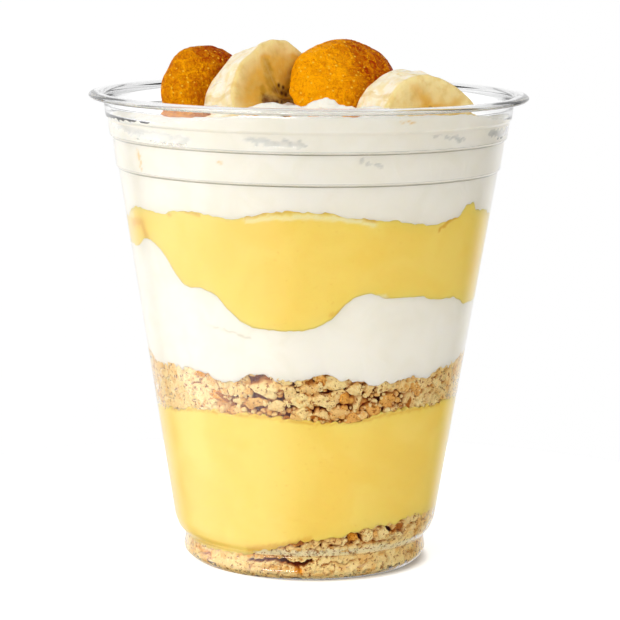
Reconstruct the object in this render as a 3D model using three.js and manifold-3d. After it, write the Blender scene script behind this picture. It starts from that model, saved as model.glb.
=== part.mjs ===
// Banana parfait in its clear plastic cup: two layers of broken biscuit, two of banana custard
// and two of cream, with two small round biscuits and two thick banana slices stuck in the top.
// Millimetres, +Z up. The origin is the middle of the foot, and the front of the cup faces -Y.
import * as THREE from 'three';
import { mergeVertices } from 'three/addons/utils/BufferGeometryUtils.js';
import Module from 'manifold-3d';

const wasm = await Module();
wasm.setup();

// The cup: a blown cone with three small steps under a rolled lip.
const HEIGHT = 105;
const RIM_RADIUS = 49;
const WALL = 0.5;
const CONE_START = 27.9;
const CONE_SLOPE = 0.1625;
const UPPER_SLOPE = 0.12;
const STEPS = [
  { z: 88.5, out: 0.5 },
  { z: 95.3, out: 0.6 },
  { z: 99.5, out: 0.4 },
];
const STEP_HEIGHT = 0.4;
const NECK_TOP = 102.6;
const LIP_UNDER = 103.6;
const FOOT_INNER = 23.2;
const FOOT_OUTER = 25.4;
const PUNT_HEIGHT = 2.4;
const CREASE = { z: 5.5, radius: 27 };
const CONE_BOTTOM = 9.5;

// What fills the cup stands this far from the wall and from its neighbours.
const GAP = 0.3;
const SHORTEST_EDGE = 0.08;
const SEGMENTS = 40;
const SLAB_RINGS = [0.4, 0.85, 1.08];

// Levels between the layers, with the swells that show at the wall: 0 degrees is the front
// and 90 the right. A swell is flat in the middle and fades out past its half width.
const LEVELS = {
  crumb_bottom: {
    z: 9.6,
    swells: [
      { at: -55, half: 42, rise: -4.2 },
      { at: -3, half: 9, rise: 0.6 },
      { at: 55, half: 42, rise: 3.3 },
    ],
  },
  custard_lower: {
    z: 38.0,
    swells: [
      { at: -78, half: 20, rise: -2.5 },
      { at: -50, half: 8, rise: -0.5 },
      { at: 6, half: 11, rise: -1.3 },
      { at: 21, half: 6, rise: -0.7 },
      { at: 50, half: 14, rise: 0.5 },
      { at: 180, half: 60, rise: -0.8 },
    ],
  },
  crumb_middle: {
    z: 46.6,
    swells: [
      { at: -84, half: 10, rise: 1.8 },
      { at: -48, half: 10, rise: 0.6 },
      { at: -30, half: 6, rise: -1.1 },
      { at: -17, half: 6, rise: 0.8 },
      { at: 6, half: 6, rise: 1.3 },
      { at: 29, half: 7, rise: -1.1 },
      { at: 46, half: 4, rise: -1.2 },
      { at: 79, half: 10, rise: 2.0 },
      { at: 175, half: 35, rise: 1.2 },
    ],
  },
  cream_middle: {
    z: 64.2,
    swells: [
      { at: -73, half: 27, rise: 8.2 },
      { at: -57, half: 9, rise: 2.8 },
      { at: -34, half: 6, rise: 1.3 },
      { at: -8, half: 19, rise: -6.7 },
      { at: 18, half: 7, rise: 1.2 },
      { at: 47, half: 5, rise: -1.1 },
      { at: 60, half: 4, rise: 1.0 },
      { at: 74, half: 20, rise: -3.8 },
      { at: 140, half: 30, rise: 5.5 },
    ],
  },
  custard_upper: {
    z: 80.9,
    swells: [
      { at: -86, half: 14, rise: -3.2 },
      { at: -38, half: 8, rise: 0.9 },
      { at: -3, half: 15, rise: 2.2 },
      { at: 16, half: 5, rise: 0.5 },
      { at: 40, half: 10, rise: -1.3 },
      { at: 58, half: 4, rise: 2.2 },
      { at: 84, half: 10, rise: -1.8 },
      { at: 190, half: 45, rise: 1.4 },
    ],
  },
};

// The top of the cream: its level at the wall, and soft spoonfuls that swell out of it.
const CREAM = {
  z: 99.6,
  swells: [
    { at: 14, half: 52, rise: 3.8 },
    { at: -60, half: 20, rise: 0.4 },
  ],
  rings: [0.22, 0.44, 0.64, 0.82, 1.08],
};
const SPOONFULS = [
  { x: -8.5, y: -27, spread: 5.5, rise: 2.2 },
  { x: 3.4, y: -25, spread: 3.6, rise: 2.8 },
  { x: 15, y: -28, spread: 6, rise: 0.4 },
  { x: -15, y: -16, spread: 6, rise: 1.8 },
  { x: -3, y: -3, spread: 15, rise: 3.4 },
  { x: -35, y: 8, spread: 9, rise: 1.0 },
  { x: 34, y: 4, spread: 10, rise: 1.4 },
];

// Pieces of biscuit show at the wall, round a core that stands back from it.
const CRUMB_CORE_INSET = 2.6;
const CRUMBS = {
  crumb_bottom: { low: 1.5, high: 12.5, radius: 25.6, spacing: 5.6, size: 2.7, seed: 13 },
  crumb_middle: { low: 39.4, high: 46.2, radius: 33.0, spacing: 5.8, size: 2.8, seed: 23 },
};

// The toppings. Each leans back: its face looks this far round from the front and this far up.
const BISCUITS = {
  wafer_left: { at: [-22.1, 3.0, 103.3], round: 30, up: 22, radius: 12.0, thick: 6.0, seed: 3 },
  wafer_right: { at: [8.3, -8.0, 106.1], round: 20, up: 36, radius: 12.8, thick: 6.4, seed: 5 },
};
// A slice has three soft corners: the first one's angle, and how far they stand out.
const SLICES = {
  banana_left: {
    at: [-6.0, -10.5, 104.0], round: 34, up: 15.5, radius: 12.75, thick: 12.4, corner: 78, lobe: 0.045, seed: 1.1,
  },
  banana_right: {
    at: [25.9, -24.4, 98.2], round: 28, up: 2, radius: 12.6, thick: 13.2, corner: 116, lobe: 0.04, seed: 2.3,
  },
};
const TOPPING_SEGMENTS = 24;

const COLOURS = {
  cup: { color: 0xeef0ec, roughness: 0.08, metalness: 0, transparent: true, opacity: 0.3 },
  crumb: { color: 0xd9b27c, roughness: 0.9, metalness: 0 },
  custard: { color: 0xf6d766, roughness: 0.4, metalness: 0 },
  cream: { color: 0xf7f5ea, roughness: 0.55, metalness: 0 },
  wafer: { color: 0xdf8d14, roughness: 0.6, metalness: 0 },
  banana: { color: 0xe9d49c, roughness: 0.5, metalness: 0 },
};

// A repeatable stream of numbers from 0 to 1.
function draws(seed) {
  let state = seed * 2654435761;
  return () => {
    state = (Math.imul(state ^ (state >>> 15), 2246822519) + 374761393) >>> 0;
    return (state ^ (state >>> 13)) % 65536 / 65536;
  };
}

// A closed geometry as a solid, with its seams merged, empty triangles dropped and faces out.
function toSolid(geometry) {
  const bare = geometry.clone();
  bare.deleteAttribute('normal');
  bare.deleteAttribute('uv');
  const merged = mergeVertices(bare, 1e-4);
  const corners = merged.index.array;
  const kept = [];
  for (let i = 0; i < corners.length; i += 3) {
    const [a, b, c] = [corners[i], corners[i + 1], corners[i + 2]];
    if (a !== b && b !== c && c !== a) kept.push(a, b, c);
  }
  const vertProperties = merged.attributes.position.array;
  const make = (list) => new wasm.Manifold(
    new wasm.Mesh({ numProp: 3, vertProperties, triVerts: Uint32Array.from(list) }));
  const shape = make(kept);
  return shape.volume() > 0 ? shape : make(kept.reverse());
}

// The largest body of a solid: scraps are dropped and sealed hollows are filled.
function largestBody(shape) {
  const bodies = shape.decompose();
  return bodies.reduce((best, body) => (body.volume() > best.volume() ? body : best));
}

// A solid as a geometry, without edges too short to matter.
function toGeometry(shape) {
  const { vertProperties, triVerts } = shape.asOriginal().simplify(SHORTEST_EDGE).getMesh();
  const geometry = new THREE.BufferGeometry();
  geometry.setAttribute('position', new THREE.BufferAttribute(vertProperties, 3));
  geometry.setIndex(new THREE.BufferAttribute(triVerts, 1));
  geometry.computeVertexNormals();
  return geometry;
}

// A profile of [radius, height] pairs turned about the Z axis.
function turned(profile, segments) {
  const points = profile.map(([radius, height]) => new THREE.Vector2(Math.max(radius, 0), height));
  return new THREE.LatheGeometry(points, segments).rotateX(Math.PI / 2);
}

// The outside of the cup from the middle of its underside up to the neck.
function cupOutside() {
  const cone = (z) => CONE_START + CONE_SLOPE * z;
  const profile = [
    [0, PUNT_HEIGHT],
    [FOOT_INNER - 1.6, PUNT_HEIGHT],
    [FOOT_INNER, 0],
    [FOOT_OUTER, 0],
    [FOOT_OUTER + 1.6, 1.4],
    [FOOT_OUTER + 2, 2.7],
    [FOOT_OUTER + 1.8, 3.5],
    [CREASE.radius, CREASE.z],
    [cone(CONE_BOTTOM) - 0.8, CONE_BOTTOM - 2.1],
    [cone(CONE_BOTTOM), CONE_BOTTOM],
  ];
  let radius = cone(STEPS[0].z);
  STEPS.forEach((step, i) => {
    profile.push([radius, step.z - STEP_HEIGHT / 2]);
    profile.push([radius + step.out, step.z + STEP_HEIGHT / 2]);
    const next = i + 1 < STEPS.length ? STEPS[i + 1].z : NECK_TOP;
    radius += step.out + UPPER_SLOPE * (next - step.z);
  });
  profile.push([radius, NECK_TOP]);
  return profile;
}

// A profile moved inwards by a distance, square to itself; it starts on the axis.
function inset(profile, distance) {
  const side = ([r0, z0], [r1, z1]) => new THREE.Vector2(z0 - z1, r1 - r0).normalize();
  return profile.map((point, i) => {
    if (i === 0) return [0, point[1] + distance];
    const before = side(profile[i - 1], point);
    const after = i + 1 < profile.length ? side(point, profile[i + 1]) : before;
    const middle = before.clone().add(after).normalize();
    const reach = distance / Math.max(middle.dot(before), 0.5);
    return [point[0] + middle.x * reach, point[1] + middle.y * reach];
  });
}

function makeCup() {
  const outside = cupOutside();
  const inside = inset(outside, WALL);
  const lip = [
    [RIM_RADIUS - 2.9, LIP_UNDER],
    [RIM_RADIUS - 0.6, LIP_UNDER],
    [RIM_RADIUS, LIP_UNDER + 0.7],
    [RIM_RADIUS - 0.8, HEIGHT],
    [RIM_RADIUS - 3.0, HEIGHT],
    [RIM_RADIUS - 3.8, HEIGHT - 0.6],
  ];
  return turned([...outside, ...lip, ...inside.reverse()], SEGMENTS);
}

// The space that the filling may take, left open upwards.
function makeBore(distance) {
  const inside = inset(cupOutside(), WALL + distance);
  const [neck] = inside[inside.length - 1];
  return toSolid(turned([...inside, [neck, HEIGHT + 20], [0, HEIGHT + 20]], SEGMENTS));
}

// How much a swell adds at an angle in degrees: its rise in the middle, none well past its half width.
function swell({ at, half, rise }, degrees) {
  const away = Math.abs(((degrees - at + 540) % 360) - 180);
  return rise * Math.exp(-((away / half) ** 4));
}

// The height of a level at an angle and a share of the cup's radius. The swells fade inwards.
function levelHeight(level, degrees, share) {
  const fade = THREE.MathUtils.smoothstep(share, 0.2, 0.85);
  return level.z + fade * level.swells.reduce((sum, one) => sum + swell(one, degrees), 0);
}

// Everything below a height, which is a function of angle, share of the radius and place. It is
// turned by half a segment, so that its edges don't lie along the wall's.
function makeGround(height, radius, rings) {
  const roof = [0, ...rings].map((share) => [share * radius, 1]).reverse();
  const geometry = turned([[0, 0], [roof[0][0], 0], ...roof], SEGMENTS).rotateZ(Math.PI / SEGMENTS);
  const position = geometry.attributes.position;
  for (let i = 0; i < position.count; i += 1) {
    const [x, y] = [position.getX(i), position.getY(i)];
    const degrees = THREE.MathUtils.radToDeg(Math.atan2(x, -y));
    if (position.getZ(i) > 0.5) position.setZ(i, height(degrees, Math.hypot(x, y) / radius, x, y));
  }
  return toSolid(geometry);
}

// Everything below a level, moved up by an offset.
function belowLevel(level, offset) {
  const height = (degrees, share) => levelHeight(level, degrees, share) + offset;
  return makeGround(height, CONE_START + CONE_SLOPE * level.z, SLAB_RINGS);
}

// One broken piece of biscuit: a lump with twenty uneven faces.
function makeCrumb(random, size) {
  const lump = new THREE.IcosahedronGeometry(1, 0);
  lump.deleteAttribute('normal');
  lump.deleteAttribute('uv');
  const merged = mergeVertices(lump);
  const position = merged.attributes.position;
  for (let i = 0; i < position.count; i += 1) {
    const reach = 0.78 + 0.44 * random();
    position.setXYZ(i, position.getX(i) * reach, position.getY(i) * reach, position.getZ(i) * reach);
  }
  merged.rotateX(random() * Math.PI).rotateY(random() * Math.PI).rotateZ(random() * Math.PI);
  return merged.scale(size * (0.8 + 0.4 * random()), size * (0.8 + 0.4 * random()), size * 0.85);
}

// A layer of broken biscuit: its core, with rows of pieces round it that reach the wall.
function makeCrumbLayer(layer, { low, high, radius, spacing, size, seed }) {
  const random = draws(seed);
  let heap = layer.intersect(makeBore(GAP + CRUMB_CORE_INSET));
  const rows = Math.round((high - low) / (spacing * 0.8));
  const columns = Math.round((2 * Math.PI * radius) / spacing);
  for (let row = 0; row <= rows; row += 1) {
    for (let column = 0; column < columns; column += 1) {
      const turn = ((column + row / 2 + 0.5 * random()) / columns) * 2 * Math.PI;
      const z = THREE.MathUtils.lerp(low, high, (row + 0.3 * (random() - 0.5)) / rows);
      const reach = radius + CONE_SLOPE * (z - low) - 1.2 * random();
      const crumb = makeCrumb(random, size * (0.75 + 0.5 * random()));
      crumb.translate(reach * Math.sin(turn), -reach * Math.cos(turn), z);
      heap = heap.add(toSolid(crumb));
    }
  }
  return largestBody(heap.intersect(layer));
}

// A small domed biscuit, seen from its dome: its widest edge is at the origin.
function makeBiscuit({ radius, thick, seed }, grow = 0) {
  const edge = 1.6;
  const dome = thick - edge;
  const reach = radius + grow;
  const profile = [
    [0, -edge - grow],
    [reach * 0.9, -edge - grow],
    [reach, -0.5],
    [reach, 0.4 + grow],
    [reach * 0.93, dome * 0.36 + grow],
    [reach * 0.76, dome * 0.68 + grow],
    [reach * 0.42, dome * 0.94 + grow],
    [0, dome + grow],
  ];
  const geometry = turned(profile, TOPPING_SEGMENTS);
  const position = geometry.attributes.position;
  for (let i = 0; i < position.count; i += 1) {
    const [x, y, z] = [position.getX(i), position.getY(i), position.getZ(i)];
    const turn = Math.atan2(y, x);
    const out = 1 + 0.018 * Math.sin(3 * turn + seed) + 0.012 * Math.sin(7 * turn + 2 * seed);
    const crag = 0.22 * Math.sin(x * 0.9 + seed) * Math.cos(y * 1.1 - seed);
    position.setXYZ(i, x * out, y * out, z + (z > 1 ? crag : 0));
  }
  return geometry;
}

// A thick slice of peeled banana, not quite round: its front cut face is at the origin.
function makeSlice({ radius, thick, corner, lobe, seed }, grow = 0) {
  const reach = radius + grow;
  const back = -thick - grow;
  const profile = [
    [0, back],
    [reach * 0.9, back],
    [reach, back + 0.9],
    [reach, back / 2],
    [reach, grow - 0.8],
    [reach * 0.92, grow],
    [reach * 0.34, grow - 0.15],
    [0, grow - 0.5],
  ];
  const geometry = turned(profile, TOPPING_SEGMENTS);
  const position = geometry.attributes.position;
  for (let i = 0; i < position.count; i += 1) {
    const [x, y] = [position.getX(i), position.getY(i)];
    const turn = Math.atan2(y, x);
    const corners = Math.cos(3 * (turn - THREE.MathUtils.degToRad(corner)));
    const out = 1 + lobe * corners + 0.01 * Math.cos(5 * turn - seed);
    position.setX(i, x * out);
    position.setY(i, y * out);
  }
  return geometry;
}

// A topping in its place, with its face turned round from the front and up.
function placed(geometry, { at, round, up }) {
  const turn = new THREE.Matrix4().makeRotationZ(THREE.MathUtils.degToRad(round));
  const lean = new THREE.Matrix4().makeRotationX(THREE.MathUtils.degToRad(90 - up));
  const mesh = new THREE.Mesh(geometry);
  mesh.position.set(...at);
  mesh.setRotationFromMatrix(turn.multiply(lean));
  mesh.updateMatrix();
  return mesh;
}

// The top layer of cream, with a hollow for each topping that is pushed into it.
function makeCreamTop(space, hollows) {
  const height = (degrees, share, x, y) => SPOONFULS.reduce(
    (z, one) => z + one.rise * Math.exp(-((x - one.x) ** 2 + (y - one.y) ** 2) / one.spread ** 2),
    levelHeight(CREAM, degrees, share));
  const ground = makeGround(height, CONE_START + CONE_SLOPE * CREAM.z, CREAM.rings);
  const whole = space.intersect(ground);
  return largestBody(hollows.reduce((rest, hollow) => rest.subtract(hollow), whole));
}

const group = new THREE.Group();

function addMesh(name, mesh, look) {
  mesh.name = name;
  mesh.material = new THREE.MeshStandardMaterial({ ...COLOURS[look], flatShading: true });
  group.add(mesh);
}

addMesh('cup', new THREE.Mesh(makeCup()), 'cup');

const bore = makeBore(GAP);
let space = bore;
for (const [name, level] of Object.entries(LEVELS)) {
  const layer = space.intersect(belowLevel(level, -GAP / 2));
  const body = name in CRUMBS ? makeCrumbLayer(layer, CRUMBS[name]) : layer;
  addMesh(name, new THREE.Mesh(toGeometry(body)), name.split('_')[0]);
  space = bore.subtract(belowLevel(level, GAP / 2));
}

const hollows = [];
for (const [specs, make, look] of [[BISCUITS, makeBiscuit, 'wafer'], [SLICES, makeSlice, 'banana']]) {
  for (const [name, spec] of Object.entries(specs)) {
    const mesh = placed(make(spec), spec);
    addMesh(name, mesh, look);
    hollows.push(toSolid(make(spec, GAP).applyMatrix4(mesh.matrix)));
  }
}
addMesh('cream_top', new THREE.Mesh(toGeometry(makeCreamTop(space, hollows))), 'cream');

export default group;
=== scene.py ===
import bmesh
import bpy
import numpy as np
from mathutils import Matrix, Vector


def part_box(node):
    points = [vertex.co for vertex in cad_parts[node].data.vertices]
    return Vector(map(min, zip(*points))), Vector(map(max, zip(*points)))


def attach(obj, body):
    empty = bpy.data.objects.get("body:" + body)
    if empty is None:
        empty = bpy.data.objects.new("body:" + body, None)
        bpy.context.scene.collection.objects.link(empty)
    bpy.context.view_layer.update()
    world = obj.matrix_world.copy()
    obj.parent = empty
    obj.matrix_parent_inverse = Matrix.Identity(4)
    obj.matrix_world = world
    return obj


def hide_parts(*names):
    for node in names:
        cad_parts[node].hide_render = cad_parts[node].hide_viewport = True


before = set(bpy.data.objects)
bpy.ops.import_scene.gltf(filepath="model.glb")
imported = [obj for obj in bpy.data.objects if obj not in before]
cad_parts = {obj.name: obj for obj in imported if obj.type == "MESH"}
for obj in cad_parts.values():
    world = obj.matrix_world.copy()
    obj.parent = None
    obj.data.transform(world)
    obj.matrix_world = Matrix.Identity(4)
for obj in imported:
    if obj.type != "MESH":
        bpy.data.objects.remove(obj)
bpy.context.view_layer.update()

# The cup: clear PET, 0.5 mm thick, drawn out of a hot sheet over a cone with three small steps.
# Its rim is rolled over into a lip, and its underside is pushed up inside a narrow foot.
MM = 0.001
RIM_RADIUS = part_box("cup")[1].x / MM
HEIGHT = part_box("cup")[1].z / MM
WALL = 0.5
CONE_START = 27.9
CONE_SLOPE = 0.1625
UPPER_SLOPE = 0.12
STEPS = [(88.5, 0.5), (95.3, 0.6), (99.5, 0.4)]
STEP_HEIGHT = 0.4
NECK_TOP = 102.6
LIP_UNDER = 103.6
FOOT_INNER = 23.2
FOOT_OUTER = 25.4
PUNT_HEIGHT = 2.4
CREASE_RADIUS = 27.0
CREASE_HEIGHT = 5.5
CONE_BOTTOM = 9.5
PET_IOR = 1.57
# How far from a soft or a crisp corner its rounding starts, and the points along the rounding.
SOFT = 0.7
CRISP = 0.15
CURVE_POINTS = 6
# The mesh: how far apart its rows are at most, and the columns round the cup and round the food.
ROW_SPACING = 1.2
CUP_COLUMNS = 246
COLUMNS = 432
cup_turn = np.linspace(0, 2 * np.pi, CUP_COLUMNS, endpoint=False)
turn = np.linspace(0, 2 * np.pi, COLUMNS, endpoint=False)
degrees = (np.degrees(turn) + 180) % 360 - 180


def outside_corners():
    """Corners [radius, height, how far they are rounded] of the cup's outside, from the middle of
    the underside to the neck."""
    cone = lambda height: CONE_START + CONE_SLOPE * height
    corners = [
        [0, PUNT_HEIGHT, SOFT],
        [FOOT_INNER - 1.6, PUNT_HEIGHT, SOFT],
        [FOOT_INNER, 0, SOFT],
        [FOOT_OUTER, 0, SOFT],
        [FOOT_OUTER + 1.6, 1.4, SOFT],
        [FOOT_OUTER + 2.05, 2.3, SOFT],
        [FOOT_OUTER + 1.75, 3.5, SOFT],
        [CREASE_RADIUS, CREASE_HEIGHT, CRISP],
        [cone(CONE_BOTTOM) - 0.8, CONE_BOTTOM - 2.1, SOFT],
        [cone(CONE_BOTTOM), CONE_BOTTOM, SOFT],
    ]
    radius = cone(STEPS[0][0])
    tops = [height for height, out in STEPS[1:]] + [NECK_TOP]
    for (height, out), top in zip(STEPS, tops):
        corners.append([radius, height - STEP_HEIGHT / 2, CRISP])
        corners.append([radius + out, height + STEP_HEIGHT / 2, CRISP])
        radius += out + UPPER_SLOPE * (top - height)
    return corners + [[radius, NECK_TOP, SOFT]]


def lip_corners():
    """Corners of the rolled lip, as above, from under it round to its inner edge."""
    return [
        [RIM_RADIUS - 2.9, LIP_UNDER, CRISP],
        [RIM_RADIUS - 0.6, LIP_UNDER, SOFT],
        [RIM_RADIUS, LIP_UNDER + 0.7, SOFT],
        [RIM_RADIUS - 0.8, HEIGHT, SOFT],
        [RIM_RADIUS - 3.0, HEIGHT, SOFT],
        [RIM_RADIUS - 3.8, HEIGHT - 0.6, SOFT],
    ]


def rounded(corners):
    """The line through the corners, each replaced by the curve (1-t)²a + 2t(1-t)c + t²b from a
    before the corner c to b after it. a and b are the corner's third value away from it, or half
    way to the next corner."""
    corners = np.array(corners, float)
    reach = corners[1:-1, 2:]
    corners = corners[:, :2]
    before, corner, after = corners[:-2], corners[1:-1], corners[2:]
    back, ahead = before - corner, after - corner
    back_length = np.linalg.norm(back, axis=1, keepdims=True)
    ahead_length = np.linalg.norm(ahead, axis=1, keepdims=True)
    a = corner + back / back_length * np.minimum(reach, back_length / 2)
    b = corner + ahead / ahead_length * np.minimum(reach, ahead_length / 2)
    t = np.linspace(0, 1, CURVE_POINTS)[None, :, None]
    curves = (1 - t) ** 2 * a[:, None] + 2 * t * (1 - t) * corner[:, None] + t**2 * b[:, None]
    line = np.vstack([corners[:1], curves.reshape(-1, 2), corners[-1:]])
    kept = np.r_[True, np.linalg.norm(np.diff(line, axis=0), axis=1) > 1e-4]
    return line[kept]


def spaced(line, spacing):
    """The same line with points added, so that none are further apart than the spacing."""
    along = np.r_[0, np.cumsum(np.linalg.norm(np.diff(line, axis=0), axis=1))]
    extra = [
        np.linspace(start, end, int(np.ceil((end - start) / spacing)), endpoint=False)
        for start, end in zip(along[:-1], along[1:])
    ]
    places = np.r_[np.concatenate(extra), along[-1]]
    return np.stack([np.interp(places, along, line[:, axis]) for axis in (0, 1)], -1)


def inset(line, distance):
    """The line moved by the distance towards the inside of the cup, square to its tangent (r', z')."""
    tangent = np.gradient(line, axis=0)
    tangent /= np.linalg.norm(tangent, axis=1, keepdims=True)
    return line + distance * np.stack([-tangent[:, 1], tangent[:, 0]], -1)


def ring_points(radius, height, at=turn):
    """Points at each turn: (radius sin turn, -radius cos turn, height)."""
    radius, height, at = np.broadcast_arrays(radius, height, at)
    return np.stack([radius * np.sin(at), -radius * np.cos(at), height], -1)


def new_mesh(name, points, corners, counts, values):
    """A smooth mesh from points in millimetres and the corners of its faces, whose corner counts
    are given. values are named numbers, or vectors, for each point."""
    mesh = bpy.data.meshes.new(name)
    mesh.vertices.add(len(points))
    mesh.vertices.foreach_set("co", (points * MM).astype(np.float32).ravel())
    mesh.loops.add(len(corners))
    mesh.loops.foreach_set("vertex_index", corners.astype(np.int32))
    mesh.polygons.add(len(counts))
    starts = np.r_[0, np.cumsum(counts)[:-1]].astype(np.int32)
    mesh.polygons.foreach_set("loop_start", starts)
    mesh.polygons.foreach_set("use_smooth", np.ones(len(counts), bool))
    for key, value in values.items():
        kind, field = ("FLOAT", "value") if value.ndim == 1 else ("FLOAT_VECTOR", "vector")
        attribute = mesh.attributes.new(key, kind, "POINT")
        attribute.data.foreach_set(field, value.astype(np.float32).ravel())
    mesh.update()
    mesh.validate()
    piece = bpy.data.objects.new(name, mesh)
    bpy.context.scene.collection.objects.link(piece)
    return piece


def turned_piece(name, rows, values=None):
    """A skin over rows[i, j], where j goes round, drawn together to a point at both ends."""
    count, columns = rows.shape[:2]
    index = np.arange(count * columns).reshape(count, columns)
    beside = np.roll(index, -1, axis=1)
    quads = np.stack([index[:-1], beside[:-1], beside[1:], index[1:]], -1)
    low_pole, high_pole = count * columns, count * columns + 1
    low_fan = np.stack([np.full(columns, low_pole), beside[0], index[0]], -1)
    high_fan = np.stack([np.full(columns, high_pole), index[-1], beside[-1]], -1)
    corners = np.r_[quads.ravel(), low_fan.ravel(), high_fan.ravel()]
    counts = np.r_[np.full(quads.size // 4, 4), np.full(2 * columns, 3)]
    ends = lambda field: np.stack([field[0].mean(0), field[-1].mean(0)])
    points = np.vstack([rows.reshape(-1, 3), ends(rows)])
    flat = {}
    for key, value in (values or {}).items():
        value = np.broadcast_to(value, rows.shape[:2]) if np.ndim(value) < 3 else value
        flat[key] = np.concatenate([value.reshape(-1, *value.shape[2:]), ends(value)])
    return new_mesh(name, points, corners, counts, flat)


def linear(code):
    """An sRGB hex colour as linear red, green, blue and alpha: ((c + 0.055) / 1.055)^2.4 above 0.04."""
    parts = np.array([int(code[i : i + 2], 16) for i in (1, 3, 5)]) / 255
    light = np.where(parts <= 0.04045, parts / 12.92, ((parts + 0.055) / 1.055) ** 2.4)
    return (*light.tolist(), 1.0)


def add_node(tree, kind, sockets=None, **settings):
    """Adds a node of a kind with its settings, and gives its outputs. A socket takes a number, a
    vector, a hex colour or another node's output."""
    node = tree.nodes.new("ShaderNode" + kind)
    for key, value in settings.items():
        setattr(node, key, value)
    for key, value in (sockets or {}).items():
        if isinstance(value, bpy.types.NodeSocket):
            tree.links.new(value, node.inputs[key])
        else:
            node.inputs[key].default_value = linear(value) if isinstance(value, str) else value
    return node.outputs


def empty_material(name, *carried):
    """A material without nodes, its node tree, and the values that its mesh carries by those names."""
    material = bpy.data.materials.new(name)
    material.use_nodes = True
    tree = material.node_tree
    tree.nodes.clear()
    return material, tree, *(add_node(tree, "Attribute", attribute_name=key)["Fac"] for key in carried)


def clear_pet():
    """Clear thermoformed PET: glossy, slightly wavy from the mould, and let through by lamps."""
    material, tree = empty_material("clear_pet")
    place = add_node(tree, "TexCoord")["Object"]
    # The wall's thickness wavers over some 9 mm, as a drawn sheet does.
    waves = add_node(tree, "TexNoise", {"Vector": place, "Scale": 110.0, "Detail": 2.0})["Fac"]
    bump = add_node(tree, "Bump", {"Height": waves, "Strength": 0.05, "Distance": 0.0004})["Normal"]
    clear = {"Color": "#FEFEFE", "Roughness": 0.0, "IOR": PET_IOR, "Normal": bump}
    clear = add_node(tree, "BsdfGlass", clear)
    through = add_node(tree, "BsdfTransparent", {"Color": "#FBFBFA"})
    lamp = add_node(tree, "LightPath")["Is Shadow Ray"]
    mixed = add_node(tree, "MixShader", {0: lamp, 1: clear[0], 2: through[0]})
    add_node(tree, "OutputMaterial", {"Surface": mixed[0]})
    return material


outside = spaced(rounded(outside_corners() + lip_corners()), ROW_SPACING)
inside = inset(spaced(rounded(outside_corners()), ROW_SPACING), WALL)
foot_row = int(np.argmin(inside[:, 1]))
wall_line = inside[foot_row:]
cup_line = np.vstack([outside, inside[::-1]])
# The outline starts and ends on the axis, so its two faces there are closed by their own points.
cup_rows = ring_points(np.maximum(cup_line[:, :1], 1e-3), cup_line[:, 1:], cup_turn)
cup = turned_piece("clear_cup", cup_rows)
cup.data.materials.append(clear_pet())
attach(cup, "root")
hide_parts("cup")


# The bottom layer: biscuits broken by hand and pressed down into the foot of the cup. Fine crumb
# is packed against the wall, and round the front right larger pieces lie loosely over it.
FOOD_ROWS = 56
CORE_ROWS = 60
UNSEEN_ROWS = 8
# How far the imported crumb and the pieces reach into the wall, and the crumb into the cup's floor.
CORE_REACH = 0.06
PIECE_REACH = 0.07
FLOOR_REACH = 0.05
PIT_DEPTH = 0.7
CRACK_DEPTH = 0.8
BAY_DEPTH = 2.2
DEEPEST = 3.4
BREAKS = 12
TRIES = 40
# A degree round the wall is about this wide, for strokes that are painted on it.
DEGREE_WIDTH = 0.62
# The ripples along the edge of a layer: the cells of their noise and how much each counts.
RIPPLES = [(4.5, 1.0), (1.9, 0.5), (0.9, 1.5)]
# How a broken piece is crumbled: a share of its smallest half width, at most how far, and the cells.
CRUMBLED = [(0.3, 0.5, 1.7), (0.16, 0.24, 0.75), (0.1, 0.13, 0.4)]
fine_turn = np.linspace(0, 2 * np.pi, COLUMNS * 2, endpoint=False)
fine_degrees = (np.degrees(fine_turn) + 180) % 360 - 180


def inner_radius(height):
    """The inside radius of the cup at a height above the bottom of its foot."""
    return np.interp(height, wall_line[:, 1], wall_line[:, 0])


def soft_noise(points, size, seed):
    """Noise from -1 to 1 with cells of a size: a random lattice, read between its points with 3t² - 2t³."""
    lattice = np.random.default_rng(seed).uniform(-1, 1, (32, 32, 32))
    cell = np.asarray(points) / size + 512.0
    low = np.floor(cell).astype(int)
    part = cell - low
    part = part * part * (3 - 2 * part)
    total = np.zeros(cell.shape[:-1])
    for corner in np.ndindex(2, 2, 2):
        weight = np.prod(np.where(np.array(corner) == 1, part, 1 - part), axis=-1)
        where = (low + corner) % 32
        total += weight * lattice[where[..., 0], where[..., 1], where[..., 2]]
    return total


def around(at, half, angle):
    """exp(-((angle - at) / half)^4), with the difference taken the short way round."""
    away = (angle - at + 180) % 360 - 180
    return np.exp(-((away / half) ** 4))


def smooth(low, high, value):
    """0 below low, 1 above high, and 3t² - 2t³ between."""
    t = np.clip((value - low) / (high - low), 0, 1)
    return t * t * (3 - 2 * t)


def level(height, swells, ripple=0.0, seed=0):
    """A surface between two layers: height(angle, share of the radius) is the level plus its swells,
    rise * exp(-((angle - at) / half)^4), and small ripples, all faded out towards the middle."""

    def surface(angle, share):
        angle, share = np.broadcast_arrays(angle, share)
        fade = smooth(0.2, 0.85, share)
        total = sum(rise * around(at, half, angle) for at, half, rise in swells)
        radius = share * inner_radius(height)
        at = np.radians(angle)
        spot = np.stack([radius * np.sin(at), radius * np.cos(at), 0 * radius], -1)
        ripples = sum(part * soft_noise(spot, cell, seed + step) for step, (cell, part) in enumerate(RIPPLES))
        return height + fade * total + ripple * ripples

    return surface


bottom_top = level(9.6, [(-55, 42, -4.2), (-3, 9, 0.6), (55, 42, 3.3)], ripple=0.3, seed=1)


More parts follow.
